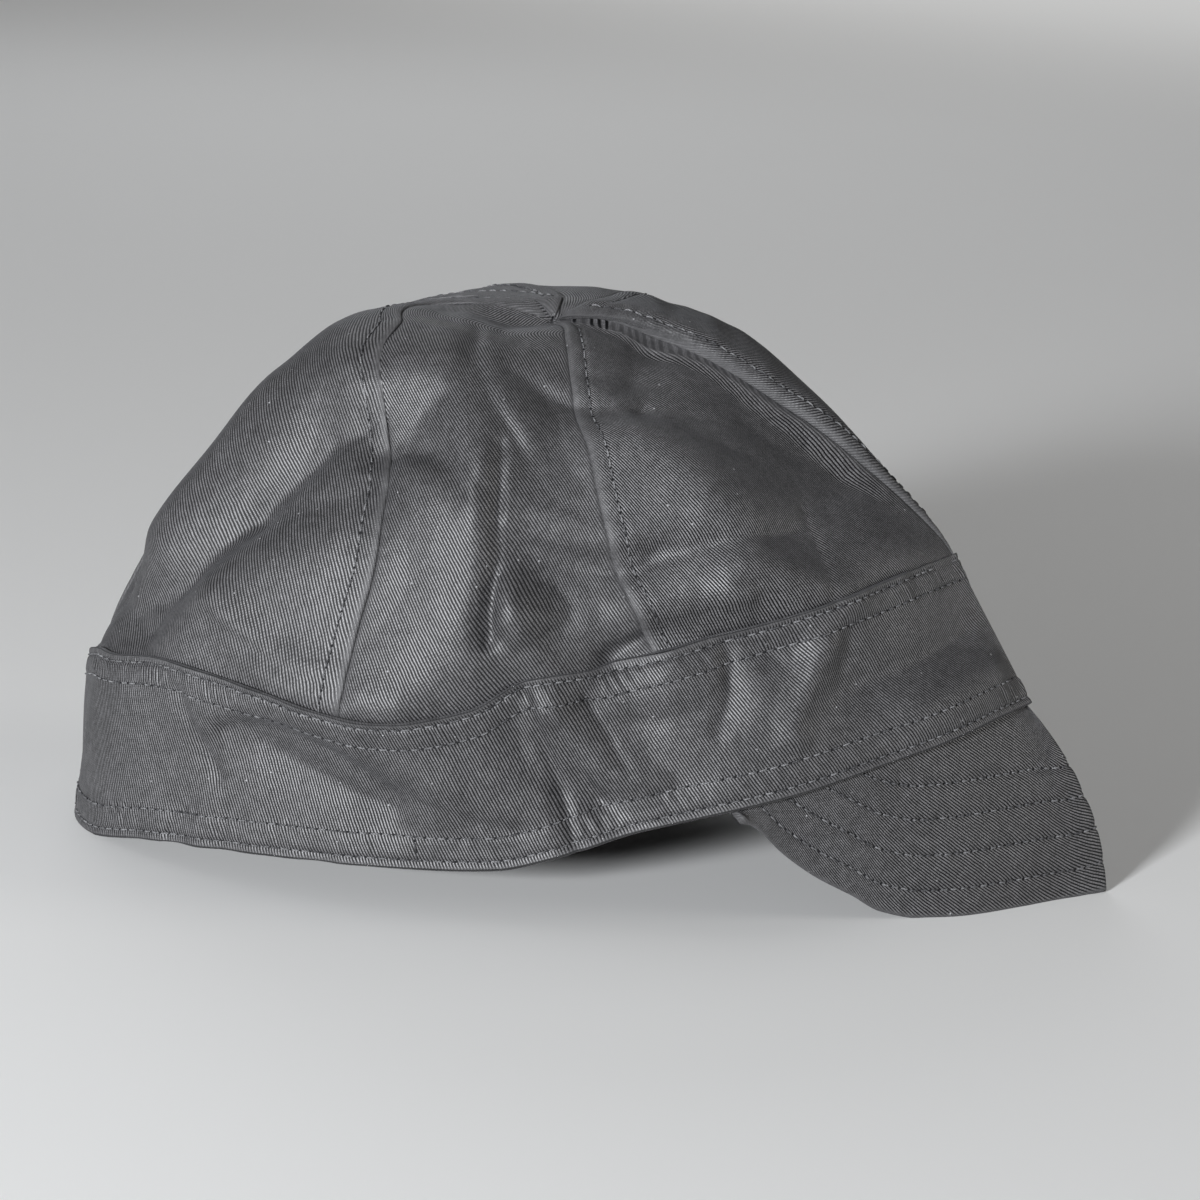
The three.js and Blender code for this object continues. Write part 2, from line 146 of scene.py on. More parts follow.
# Angle of each seam at shares of the way from the band up to the crown's top
SEAMS = table("climb frontRight backRight back backLeft frontLeft", [
    (0, 68.5, 108, 180, 251, 291.5),
    (0.12, 71, 107.7, 180, 251, 291),
    (0.25, 74, 107, 180, 251, 290.5),
    (0.4, 75.8, 109.5, 180, 251, 290),
    (0.5, 76.6, 114.5, 182, 251, 290),
    (0.6, 78, 121, 185, 251, 290),
    (0.7, 77.8, 131.5, 191, 252, 290),
    (0.8, 76.8, 147, 203, 254, 291.5),
    (0.87, 75, 180, 218, 258, 295),
    (0.93, 69, 190, 232, 267, 303),
    (1, 58, 205, 245, 280, 315),
])

# The visor's edge: how far forward and inward of the rim it is, and how far down to the floor
VISOR_EDGE = table("angle forward inward drop", [
    (0, 1.0, 0, 0.98),
    (8, 0.66, -0.78, 1),
    (16, 0.42, -1.25, 1),
    (24, 0.36, -0.95, 1),
    (32, 0.27, -0.54, 1),
    (39, 0.17, 0.06, 0.995),
    (45, 0.09, 0.6, 0.94),
    (50, 0.08, 0.94, 0.81),
    (55, 0.02, 0.98, 0.64),
    (59, 0.03, 0.87, 0.456),
    (62.5, 0.03, 0.56, 0.206),
    (65, 0.08, 0.33, 0.05),
])

# Folds as curves in the side view: from, via and to, with x in thousandths of RIM_LENGTH
# and z in thousandths of APEX_HEIGHT, then the width on either side and the height
NEAR_FOLDS = [
    (-248, 807, -351, 663, -469, 394, 6.8, 7.4, -3.94),
    (-306, 791, -376, 626, -489, 415, 7.9, 11.6, -3.57),
    (-212, 720, -292, 667, -359, 631, 8.5, 15, -3.24),
    (-377, 485, -290, 394, -174, 364, 6.2, 5.8, 2.53),
    (-316, 538, -261, 472, -257, 404, 21.8, 18.9, 2.7),
    (-267, 888, -366, 799, -453, 550, 4.5, 8.7, 2.74),
    (-228, 774, -175, 796, -109, 734, 4.9, 4.6, -2.94),
    (-246, 873, -171, 906, -124, 796, 10.3, 5.7, 3.35),
    (-134, 701, -112, 537, -139, 430, 12.4, 20, 5.02),
    (-221, 716, -171, 600, -208, 470, 10.7, 7.9, -1.19),
    (-231, 767, -221, 586, -227, 420, 7.4, 4.5, -0.83),
    (-150, 960, -106, 902, -69, 831, 5.9, 5.9, 0.92),
    (-52, 806, -89, 717, -77, 617, 7.7, 5.1, -1.54),
    (-79, 639, -89, 543, -83, 500, 3.5, 3.5, -2.43),
    (-183, 988, -144, 923, -190, 829, 8.8, 7.1, -2.53),
    (-111, 736, -78, 600, -32, 393, 5.7, 5.7, 4.27),
    (-61, 613, -14, 549, -58, 481, 6, 5, -2.29),
    (-82, 649, 15, 620, 61, 640, 7, 10.1, -3.6),
    (-59, 763, -19, 723, 32, 718, 12.3, 5.1, -1.66),
    (-10, 610, 9, 583, 25, 486, 10, 11.6, -2.78),
    (-44, 863, -32, 805, -12, 766, 15.6, 8.6, -2.7),
    (-100, 953, -29, 895, 44, 877, 15.4, 15.2, -3.51),
    (-116, 988, -49, 954, 27, 945, 9.3, 9.2, -3.13),
    (45, 893, 174, 790, 323, 674, 8, 5.9, -1.11),
    (28, 618, 121, 669, 201, 687, 6.9, 6.4, -1.71),
    (64, 605, 125, 613, 201, 610, 6.3, 6.3, -0.31),
    (35, 463, 95, 514, 187, 488, 6.6, 7.1, -4.37),
    (89, 861, 180, 772, 255, 674, 8.5, 6.4, -1.1),
    (208, 731, 220, 643, 238, 546, 6.6, 6.6, -0.17),
    (32, 943, 141, 865, 254, 752, 7.2, 7.2, -2.92),
    (40, 851, 101, 772, 147, 687, 6.4, 6.4, 2.55),
    (252, 658, 284, 606, 340, 608, 6.5, 6.4, 0.85),
    (146, 593, 156, 628, 247, 563, 5.1, 7.6, 3.38),
    (-50, 430, -44, 282, 43, 215, 7.6, 8.4, -2.83),
    (-41, 413, -23, 294, 34, 226, 6.2, 6.2, -1.33),
    (12, 390, 36, 350, 38, 281, 4.1, 4.5, -1.04),
    (-75, 401, -50, 280, -13, 165, 6.4, 6.3, 0.2),
    (-24, 373, 22, 301, 60, 247, 6, 5.7, 2.39),
    (-363, 303, -254, 323, -155, 214, 15.7, 7.4, 3.38),
    (-316, 262, -237, 210, -175, 176, 5, 7.8, -2.52),
    (-404, 324, -380, 267, -363, 189, 6.2, 6.7, -0.2),
    (-202, 253, -111, 147, -54, 127, 7.4, 15.5, -2.32),
    (40, 365, 103, 384, 150, 436, 4.9, 5, -1.35),
    (149, 484, 154, 412, 149, 383, 4.5, 4.6, -1.91),
    (232, 492, 211, 393, 214, 351, 4.1, 3.6, 2.67),
    (256, 509, 266, 436, 248, 394, 5.8, 5.7, -0.96),
    (281, 429, 340, 456, 392, 490, 6.2, 6.2, -2.36),
    (334, 370, 409, 414, 415, 463, 7.2, 7.8, 2.92),
    (-473, 272, -466, 197, -470, 97, 6.9, 6.5, 0.33),
    (-138, 303, -123, 233, -122, 196, 5.9, 6.3, 0.78),
    (74, 311, 106, 266, 66, 234, 22, 8.1, -3.82),
    (-97, 805, -90, 656, -90, 490, 1.4, 2.6, -2.25),
    (-52, 407, -23, 295, 8, 150, 1.3, 2.2, -1.5),
    (-31, 394, -3, 305, 30, 224, 1.3, 2.4, -1.2),
    (11, 397, 31, 341, 54, 288, 1.3, 2.2, -0.9),
    (-354, 273, -273, 289, -172, 201, 1.8, 3.5, -1.65),
    (-403, 317, -384, 249, -360, 182, 1.6, 3, -1.2),
    (-168, 221, -107, 182, -48, 166, 1.6, 2.6, -0.9),
    (147, 490, 149, 418, 141, 348, 1.5, 2.6, -0.83),
    (209, 507, 210, 441, 205, 380, 1.5, 2.6, -0.68),
    (256, 523, 258, 480, 256, 420, 1.4, 2.4, -0.6),
    (-211, 770, -167, 779, -126, 724, 1.6, 3.2, -1.65),
    (-142, 967, -123, 896, -80, 811, 1.8, 3.6, -1.5),
    (209, 718, 222, 649, 234, 566, 1, 1.8, -0.68),
    (-373, 459, -300, 409, -230, 387, 2, 4, -1.35),
    (27, 469, 84, 528, 170, 570, 2, 4, -1.35),
    (-101, 931, -34, 899, 44, 899, 2, 4.5, -1.5),
    (44, 899, 132, 857, 241, 752, 2.4, 5, -1.35),
    (-77, 664, -7, 643, 68, 663, 1.8, 3.5, -1.2),
    (68, 663, 134, 675, 199, 683, 1.8, 3.5, -0.9),
    (-283, 784, -319, 707, -352, 626, 2.2, 4.5, -1.35),
    (-352, 626, -400, 540, -463, 446, 2.2, 4.5, -1.2),
]
FAR_FOLDS = [
    (-210, 900, -190, 720, -200, 500, 9, 9, -1.4),
    (-60, 930, -30, 740, -50, 500, 10, 8, -1.6),
    (-130, 800, -120, 660, -130, 480, 12, 12, 1.4),
    (-270, 820, -340, 680, -430, 420, 9, 7, -1.8),
    (20, 880, 130, 840, 260, 690, 9, 9, -1.4),
    (50, 700, 150, 680, 270, 600, 9, 9, 1),
    (-30, 400, -20, 300, 0, 150, 5, 4, -1.4),
    (-310, 260, -230, 220, -140, 160, 5, 5, -1.2),
    (160, 430, 150, 380, 140, 330, 4.5, 4.5, -1),
]




def smoothstep(value, low, high):
    share = np.clip((value - low) / (high - low), 0, 1)
    return share * share * (3 - 2 * share)


def bell(distance, width):
    return np.exp(-(distance / width) ** 2)


def read(rows, key, name, at):
    """Smooth value of a table's column, without overshoot between its rows."""
    x, y = rows[key], rows[name]
    slope = np.diff(y) / np.diff(x)
    product = slope[:-1] * slope[1:]
    rising = product > 0
    mean = np.where(rising, 2 * product / np.where(rising, slope[:-1] + slope[1:], 1), 0)
    tangent = np.concatenate([slope[:1], mean, slope[-1:]])
    i = np.clip(np.searchsorted(x, at, side="right") - 1, 0, len(x) - 2)
    span = x[i + 1] - x[i]
    u = np.clip((at - x[i]) / span, 0, 1)
    start = (1 + 2 * u) * (1 - u) ** 2 * y[i] + u * (1 - u) ** 2 * span * tangent[i]
    end = u * u * (3 - 2 * u) * y[i + 1] + u * u * (u - 1) * span * tangent[i + 1]
    return start + end


def length_of(vectors):
    return np.sqrt((vectors ** 2).sum(-1))


def unit(vectors):
    return vectors / np.maximum(length_of(vectors), 1e-9)[..., None]


def plan(angle, length, width, centre_x, height, sharp):
    """Points of a lens-shaped plan, sharp at the front and round at the back."""
    turn = np.radians(angle)
    across = np.sign(np.sin(turn)) * np.abs(np.sin(turn)) ** sharp
    return np.stack([centre_x + length / 2 * np.cos(turn), -width / 2 * across, height], -1)


def face(angle, level):
    """Smooth outer face: level 0 is the rim, 1 the band's top edge, 2 the crown's top."""
    angle, level = np.broadcast_arrays(np.asarray(angle, float), np.asarray(level, float))
    turn = np.mod(angle, 360)
    rim_height = read(SECTIONS, "angle", "rise", turn) * RIM_FRONT_RISE
    top_height = rim_height + read(SECTIONS, "angle", "depth", turn) * BAND_DEPTH
    sharp = read(SECTIONS, "angle", "sharp", turn)
    rim = plan(turn, RIM_LENGTH, RIM_WIDTH, RIM_CENTRE_X, rim_height, sharp)
    top = plan(turn, BAND_TOP_LENGTH, BAND_TOP_WIDTH, RIM_CENTRE_X - BAND_TOP_SETBACK,
               top_height, sharp)
    low = rim + (top - rim) * np.minimum(level, 1)[..., None]
    quarter = np.clip(level - 1, 0, 1) * math.pi / 2
    out = np.maximum(np.cos(quarter), 0) ** (2 / read(SECTIONS, "angle", "run", turn))
    up = np.sin(quarter) ** (2 / read(SECTIONS, "angle", "climb", turn))
    far_side = np.maximum(-np.sin(np.radians(turn)), 0)
    puff = FAR_PUFF * far_side * np.sin(math.pi * out ** 0.8) ** 2
    apex_x = RIM_CENTRE_X - APEX_SETBACK
    high = np.stack([
        apex_x + (top[..., 0] - apex_x) * out,
        -APEX_SHIFT + (top[..., 1] + APEX_SHIFT) * out,
        top[..., 2] + (APEX_HEIGHT - top[..., 2]) * up + puff,
    ], -1)
    return np.where((level > 1)[..., None], high, low)


def face_normal(angle, level):
    at = np.minimum(level, TIP_LEVEL)
    around = face(angle + ANGLE_STEP, at) - face(angle - ANGLE_STEP, at)
    upward = face(angle, at + LEVEL_STEP) - face(angle, at - LEVEL_STEP)
    return unit(np.cross(upward, around))


def curve_points(start, via, end, count):
    """Points of a bow through three points."""
    bend = 2 * via - (start + end) / 2
    t = np.linspace(0, 1, count)[:, None]
    return start * (1 - t) ** 2 + bend * 2 * t * (1 - t) + end * t * t


def distance_to_path(points, path):
    """Distance of points from a path, where along it they are, and their side, -1 to 1."""
    shape = points.shape[:-1]
    flat = points.reshape(-1, points.shape[-1])
    nearest = np.full(len(flat), np.inf)
    along = np.zeros(len(flat))
    side = np.zeros(len(flat))
    run = 0.0
    for a, b in zip(path[:-1], path[1:]):
        step = b - a
        size = math.sqrt(float(step @ step))
        t = np.clip((flat - a) @ step / max(size * size, 1e-12), 0, 1)
        way = flat - a - t[:, None] * step
        gap = length_of(way)
        closer = gap < nearest
        nearest = np.where(closer, gap, nearest)
        along = np.where(closer, run + t * size, along)
        turned = step[-1] * way[:, 0] - step[0] * way[:, -1]
        side = np.where(closer, turned / np.maximum(size * gap, 1e-9), side)
        run += size
    return nearest.reshape(shape), along.reshape(shape), side.reshape(shape)


def fold_height(points):
    """Height of the folds above the smooth face at its points."""
    side_view = points[..., [0, 2]]
    scale = np.array([RIM_LENGTH, APEX_HEIGHT])
    height = np.zeros(points.shape[:-1])
    for rows, toward in ((NEAR_FOLDS, -1), (FAR_FOLDS, 1)):
        weight = smoothstep(toward * points[..., 1], 0, FOLD_SIDE_FADE)
        used = weight > 0
        if not used.any():
            continue
        on_side = side_view[used]
        total = np.zeros(len(on_side))
        for row in rows:
            start, via, end = (np.array(row[i:i + 2]) / 1000 * scale for i in (0, 2, 4))
            gap, _, side = distance_to_path(on_side, curve_points(start, via, end, 13))
            width = row[6] + (row[7] - row[6]) * (side + 1) / 2
            bow = bell(gap, width)
            if row[8] < 0:
                blunt = np.sqrt(gap ** 2 + CREASE_ROUND ** 2) - CREASE_ROUND
                crease = np.exp(-blunt / (CREASE_WIDTH * width))
                bow = (1 - CREASE_SHARE) * bow + CREASE_SHARE * crease
            total += row[8] * bow
        height[used] += total * weight[used]
    return height


def waves(points, wavelength, seed, count=14):
    """Soft irregular waves of unit size, the same in each run."""
    rng = np.random.default_rng(seed)
    heading = unit(rng.normal(size=(count, points.shape[-1])))
    rate = 2 * math.pi / (wavelength * rng.uniform(0.7, 1.5, count))
    phase = rng.uniform(0, 2 * math.pi, count)
    total = np.zeros(points.shape[:-1])
    for i in range(count):
        total += np.cos(points @ (heading[i] * rate[i]) + phase[i])
    return total * math.sqrt(2 / count)


def uneven(points, height, wavelength, seed):
    return height * waves(points, wavelength, seed)


def puckers(along, wavelength, seed):
    """Ripples along a row of stitches, pulled tight in some places and slack in others."""
    fine = waves(along[..., None], wavelength, seed, 6)
    slack = 0.55 + 0.45 * waves(along[..., None], wavelength * 7, seed + 1, 4)
    return fine * np.clip(slack, 0.1, 1.3)


# Seams of the crown: the panel whose folded edge lies on top, how far that edge stands
# up, how far the row of stitches is from it, and how much the row pulls
LAPS = {
    "front": ("front_left", 0.14, 3.6, 0.1),
    "frontRight": ("front_right", 0.12, 4.0, 0.07),
    "backRight": ("back_right", 0.45, 4.6, 0.12),
    "back": ("back_left", 0.5, 4.4, 0.14),
    "backLeft": ("back_left", 0.5, 4.5, 0.14),
    "frontLeft": ("front_left", 0.2, 4.3, 0.1),
}
# The panel below drops and turns in at the seam
SEAM_DROP = 0.15
SEAM_DROP_REACH = 4.0
SEAM_GROOVE = 0.38
GROOVE_WIDTH = 0.6
# The folded edge on top is turned down, and dips where its row of stitches runs
EDGE_TURN = 0.25
EDGE_TURN_WIDTH = 0.5
STITCH_DIP = 0.3
DIP_WIDTH = 0.8
PULL_WIDTH = 2.6
PUCKER_LENGTH = 5.5
LAP_SEED = 40
# The rise of the lap ends between these distances from the row
LAP_FALL = (-0.5, 3.2)
# Cloth rubbed pale along the seams: on the folded edge, and on the panel below it
SEAM_RUB = 1.8
RUB_ABOVE, RUB_BELOW = 1.0, 0.8

# Gores: their two seams, mesh spacing, the twill's angle and its relief, which sets how deep the
# painted shade in the twill's gaps is on that gore
PANELS = [
    ("front_right", "front", "frontRight", NEAR_STEP, 76, 1.0),
    ("middle_right", "frontRight", "backRight", NEAR_STEP, 63, 0.55),
    ("back_right", "backRight", "back", NEAR_STEP, 53, 0.5),
    ("back_left", "back", "backLeft", FAR_STEP, 58, 0.6),
    ("middle_left", "backLeft", "frontLeft", FAR_STEP, 63, 0.6),
    ("front_left", "frontLeft", "front", FAR_STEP, 50, 0.7),
]


def seam_angle(name, level, closing=False):
    if name == "front":
        return np.full(np.shape(level), 360.0 if closing else 0.0)
    return read(SEAMS, "climb", name, np.maximum(np.asarray(level, float) - 1, 0))


def run_along(points):
    """Length along rows of points, from each row's start."""
    steps = length_of(np.diff(points, axis=-2))
    return np.concatenate([np.zeros(steps.shape[:-1] + (1,)), np.cumsum(steps, -1)], -1)


def even_levels(angle, low, high, step):
    """Levels in even steps of cloth up the cap at one angle."""
    dense = np.linspace(low, high, 500)
    run = run_along(face(angle, dense))
    count = int(math.ceil(run[-1] / step))
    return np.interp(np.linspace(0, run[-1], count + 1), run, dense)


def crown_step(level):
    """Depth of the crown behind the band's outer face, fading out above the band."""
    return CROWN_STEP * (1 - smoothstep(level - 1, 0, STEP_FADE))


def edge_shares(width, step):
    """Shares across a panel, closer together beside its seams."""
    count = int(math.ceil((width - 2 * SEAM_MARGIN) / step))
    middle = np.linspace(SEAM_MARGIN, width - SEAM_MARGIN, count + 1)
    return np.concatenate([SEAM_COLUMNS, middle, width - SEAM_COLUMNS[::-1]]) / width


def panel_angles(panel, levels):
    _, start, end, step = panel[:4]
    low = seam_angle(start, levels)
    high = seam_angle(end, levels, closing=True)
    share = np.linspace(0, 1, 260)
    dense = low[:, None] + (high - low)[:, None] * share
    run = run_along(face(dense, levels[:, None]))
    shares = edge_shares(run[:, -1].max(), step)
    return np.array([np.interp(shares * r[-1], r, d) for r, d in zip(run, dense)])


def seam_path(name):
    levels = np.linspace(1 - PANEL_LAP / BAND_DEPTH, 1 + GORE_TIP, 150)
    return face(seam_angle(name, levels), levels)


def lap_height(panel_name, seam, gap, along):
    """Height that a seam gives to a panel beside it."""
    top_panel, rise, row, pull = LAPS[seam]
    if panel_name != top_panel:
        drop = SEAM_DROP * (1 - smoothstep(gap, 0, SEAM_DROP_REACH))
        return -drop - SEAM_GROOVE * bell(gap, GROOVE_WIDTH)
    strip = 1 - smoothstep(gap - row, *LAP_FALL)
    turned = EDGE_TURN * bell(gap, EDGE_TURN_WIDTH)
    dip = STITCH_DIP * bell(gap - row, DIP_WIDTH)
    ripple = puckers(along, PUCKER_LENGTH, LAP_SEED + sorted(LAPS).index(seam))
    return rise * strip - turned - dip + pull * bell(gap - row, PULL_WIDTH) * ripple


# Unevenness of soft cloth between the larger folds: height, wavelength and seed
CROWN_SWELL = (0.5, 42, 11)
CROWN_WRINKLE = (0.22, 15, 13)
WRINKLE_STRETCH = (1.5, 1, 0.6)
WRINKLE_PATCHES = (60, 12)
# Levels between which the wrinkles and the laps grow above the band's edge
WRINKLE_START = (1, 1.12)
LAP_START = (0.98, 1.04)


def crown_wrinkles(points):
    patches = smoothstep(waves(points, *WRINKLE_PATCHES), -0.6, 1.4)
    fine = uneven(points * WRINKLE_STRETCH, *CROWN_WRINKLE)
    return uneven(points, *CROWN_SWELL) + patches * fine


# A grid of outer and inner points, with their outward directions, places on the flat cloth,
# wear, and distances from the seams or edges
Sheet = namedtuple("Sheet", "outer normal inner cloth wear fields")


def above_floor(points):
    points = points.copy()
    points[..., 2] = np.maximum(points[..., 2], 0)
    return points


def flat_gore(points):
    """Place of each point on the flat cloth, measured from the gore's middle line."""
    middle = points.shape[1] // 2
    sideways = run_along(points)
    u = sideways - sideways[:, middle:middle + 1]
    v = np.broadcast_to(run_along(points[:, middle])[:, None], u.shape)
    return np.stack([u, v], -1)


def crown_sheet(panel):
    name, start, end, step = panel[:4]
    mid = float(seam_angle(start, 1.0) + seam_angle(end, 1.0, closing=True)) / 2
    levels = even_levels(mid, 1 - PANEL_LAP / BAND_DEPTH, 1 + GORE_TIP, step)
    angles = panel_angles(panel, levels)
    level = np.broadcast_to(levels[:, None], angles.shape)
    smooth = face(angles, level)
    normal = face_normal(angles, level)
    fold = fold_height(smooth) - crown_step(level)
    height = fold + crown_wrinkles(smooth) * smoothstep(level, *WRINKLE_START)
    wear = np.zeros(angles.shape)
    gaps = {}
    for seam in (start, end):
        gap, along, _ = distance_to_path(smooth, seam_path(seam))
        height = height + lap_height(name, seam, gap, along) * smoothstep(level, *LAP_START)
        gaps[seam] = gap
        wear += (RUB_ABOVE if LAPS[seam][0] == name else RUB_BELOW) * bell(gap, SEAM_RUB)
    outer = above_floor(smooth + normal * height[..., None])
    inner = above_floor(smooth + normal * (fold - PANEL_WALL)[..., None])
    return Sheet(outer, normal, inner, flat_gore(smooth), wear, gaps)


# Rows of stitches on the band, measured from its top edge and from the rim, with the
# depth and the width of the dip that each pulls into the cloth
TOP_ROWS = ((1.5, 0.4, 0.5), (6.6, 0.3, 0.7))
RIM_ROWS = ((1.8, 0.35, 0.6), (7.5, 0.3, 0.7))
HEM_JOIN_X = -34.4
# Turned strips at both edges: the row of stitches that ends each, its rise, and the
# distances from the row between which the rise ends
TOP_STRIP = (TOP_ROWS[1][0], 0.3)
HEM_STRIP = (RIM_ROWS[1][0], 0.35)
STRIP_FALL = (-0.4, 1.6)
# Ripples along each row: height, reach, slant, wavelength and first seed
ROW_PUCKERS = (0.09, 1.7, 0.4, 2.8, 60)
# Ripples between two rows: their middle, height, reach, slant, wavelength and seed
TOP_PUCKERS = (4.0, 0.17, 2.4, 0.5, 3.4, 70)
HEM_PUCKERS = (4.6, 0.14, 2.4, -0.4, 3.6, 71)
# Soft leaning creases in patches, and a swell: height, wavelength and seed
CREASE_LEAN = (0.3, 0.25)
CREASE_PATCHES = (55, 72)
BAND_CREASES = (0.34, 12, 73)
BAND_SWELL = (0.35, 48, 74)
# How far the cloth is rubbed at the top edge and, less strongly, at the rim
TOP_RUB = 0.7
RIM_RUB = 0.8
RIM_RUB_SHARE = 0.8


def band_height(points, along, from_rim, from_top):
    """Relief of the band: folded edges, stitch rows and the puckers between them."""
    height = 0
    for gap, (row, rise) in ((from_top, TOP_STRIP), (from_rim, HEM_STRIP)):
        height = height + rise * (1 - smoothstep(gap - row, *STRIP_FALL))
    ripple, reach, slant, wave, seed = ROW_PUCKERS
    for i, (gap, (row, dip, width)) in enumerate(
            [(from_top, row) for row in TOP_ROWS] + [(from_rim, row) for row in RIM_ROWS]):
        height = height - dip * bell(gap - row, width)
        pulled = bell(gap - row, reach)
        height = height + ripple * pulled * puckers(along + gap * slant, wave, seed + i)
    for gap, (middle, ripple, reach, slant, wave, seed) in (
            (from_top, TOP_PUCKERS), (from_rim, HEM_PUCKERS)):
        between = bell(gap - middle, reach)
        height = height + ripple * between * puckers(along + gap * slant, wave, seed)
    lean, stretch = CREASE_LEAN
    slanted = np.stack([along + from_rim * lean, from_rim * stretch], -1)
    patches = smoothstep(waves(points, *CREASE_PATCHES), -0.4, 1.2)
    return height + patches * uneven(slanted, *BAND_CREASES) + uneven(points, *BAND_SWELL)


def band_angles():
    """Angles round the cap in even steps of cloth, finer on the near side."""
    dense = np.linspace(0, 360, 2880)
    run = run_along(face(dense, 0.5))
    half = np.interp(180, dense, run)
    near = np.linspace(0, half, int(half / BAND_NEAR_STEP), endpoint=False)
    rest = run[-1] - half
    far = half + np.linspace(0, rest, int(rest / BAND_FAR_STEP), endpoint=False)
    along = np.concatenate([near, far])
    return np.interp(along, run, dense), along


def band_sheet():
    angles, along = band_angles()
    edge = EDGE_ROWS / BAND_HEIGHT
    count = int((BAND_HEIGHT - 2 * EDGE_ROWS[-1]) / BAND_ROW_STEP)
    middle = np.linspace(edge[-1], 1 - edge[-1], count + 1)[1:-1]
    levels = np.concatenate([edge, middle, 1 - edge[::-1]])
    angle, level = np.broadcast_arrays(angles[None, :], levels[:, None])
    smooth = face(angle, level)
    normal = face_normal(angle, level)
    tall = length_of(face(angles, 1) - face(angles, 0))
    from_rim, from_top = level * tall, (1 - level) * tall
    run = np.broadcast_to(along, level.shape)
    fold = fold_height(smooth)
    height = fold + band_height(smooth, run, from_rim, from_top)
    wear = bell(from_top, TOP_RUB) + RIM_RUB_SHARE * bell(from_rim, RIM_RUB)
    outer = above_floor(smooth + normal * height[..., None])
    thinner = (BAND_WALL - TOP_EDGE_WALL) * (1 - smoothstep(from_top, 0, TOP_EDGE_REACH))
    inner = above_floor(smooth + normal * (fold - BAND_WALL + thinner)[..., None])
    cloth = np.stack([run, from_rim], -1)
    return Sheet(outer, normal, inner, cloth, wear, {"from_rim": from_rim, "from_top": from_top})


def visor_edge(angle):
    forward, inward, drop = (read(VISOR_EDGE, "angle", name, np.abs(angle))
                             for name in ("forward", "inward", "drop"))
    x, y, z = np.moveaxis(face(angle, 0), -1, 0)
    return np.stack([x + forward * VISOR_REACH, y + np.sign(angle) * inward * VISOR_TURN_IN,
                     z * (1 - drop)], -1)


def tucked(angle, level, depth):
    """Point behind the band's outer face."""
    smooth = face(angle, level)
    lift = fold_height(smooth) - depth
    return smooth + face_normal(angle, level) * lift[..., None]


def visor_flat(angle, drop):
    root = tucked(angle, np.zeros_like(angle), BAND_WALL + PIECE_GAP)
    return root + (visor_edge(angle) - root) * drop[..., None]


def visor_normal(angle, drop):
    around = visor_flat(angle + ANGLE_STEP, drop) - visor_flat(angle - ANGLE_STEP, drop)
    down = visor_flat(angle, drop + LEVEL_STEP) - visor_flat(angle, drop - LEVEL_STEP)
    return unit(np.cross(around, down))


# Rows of stitches on the visor, measured from its lower edge, and the quilting round them
VISOR_ROWS = (7.0, 16.0, 25.0, 33.3)
QUILT_DIP = 0.5
QUILT_DIP_WIDTH = 1.1
QUILT_RIPPLE = 0.16
QUILT_REACH = 3.0
QUILT_WAVE = 5.0
QUILT_SEED = 82
VISOR_SWELL = (0.3, 40, 81)
VISOR_RUB = 0.9


def visor_sheet():
    # Columns in even steps along a line between the rim and the visor's edge
    dense = np.linspace(-VISOR_HALF_ANGLE, VISOR_HALF_ANGLE, 1300)
    run = run_along(visor_edge(dense) * 0.6 + face(dense, 0) * 0.4)
    count = int(run[-1] / VISOR_STEP)
    along = np.linspace(0, run[-1], count + 1)
    angles = np.interp(along, run, dense)
    tuck = np.linspace(VISOR_TUCK / BAND_DEPTH, 0, 6, endpoint=False)
    drops = np.concatenate([np.linspace(0, 0.95, 46), 1 - VISOR_EDGE_ROWS[::-1]])
    angle, level = np.broadcast_arrays(angles[None, :], tuck[:, None])
    top_out = tucked(angle, level, BAND_WALL + PIECE_GAP)
    top_in = tucked(angle, level, BAND_WALL + PIECE_GAP + VISOR_WALL)
    top_normal = face_normal(angle, level)
    angle, drop = np.broadcast_arrays(angles[None, :], drops[:, None])
    side = 1 - np.abs(angle) / VISOR_HALF_ANGLE
    bulge = VISOR_BULGE * 4 * drop * (1 - drop) * side ** 1.5
    flat = visor_flat(angle, drop)
    normal = visor_normal(angle, drop)
    root, tip = visor_flat(angles, 0 * angles), visor_edge(angles)
    tall = length_of(tip - root)
    from_edge = (1 - drop) * tall
    run = np.broadcast_to(along, drop.shape)
    relief = uneven(flat, *VISOR_SWELL)
    for i, row in enumerate(VISOR_ROWS):
        relief = relief - QUILT_DIP * bell(from_edge - row, QUILT_DIP_WIDTH)
        ripple = QUILT_RIPPLE * bell(from_edge - row, QUILT_REACH)
        relief = relief + ripple * puckers(run, QUILT_WAVE, QUILT_SEED + i)
    relief = relief * smoothstep(drop, 0, 0.1)
    outer = flat + normal * (bulge + relief)[..., None]
    inner = flat + normal * (bulge - VISOR_WALL)[..., None]
    outer = above_floor(np.concatenate([top_out, outer])[::-1])
    inner = above_floor(np.concatenate([top_in, inner])[::-1])
    normal = np.concatenate([top_normal, normal])[::-1]
    spare = length_of(top_out - top_out[-1:]) + tall
    from_edge = np.concatenate([spare, from_edge])[::-1]
    cloth = np.stack([np.broadcast_to(along, from_edge.shape), from_edge], -1)
    return Sheet(outer, normal, inner, cloth, bell(from_edge, VISOR_RUB), {"from_edge": from_edge})


# How far a cut edge swells, and how much it is rubbed
EDGE_SWELL = 0.6
EDGE_WEAR = 0.85


def rounded_edge(outer, inner, outward):
    """Points of a half-round edge between the outer and the inner sheet."""
    middle, half = (outer + inner) / 2, (outer - inner) / 2
    reach = length_of(half)[..., None] * EDGE_SWELL
    return [above_floor(middle + half * math.cos(turn) + outward * reach * math.sin(turn))
            for turn in (math.pi / 4, math.pi / 2, 3 * math.pi / 4)]


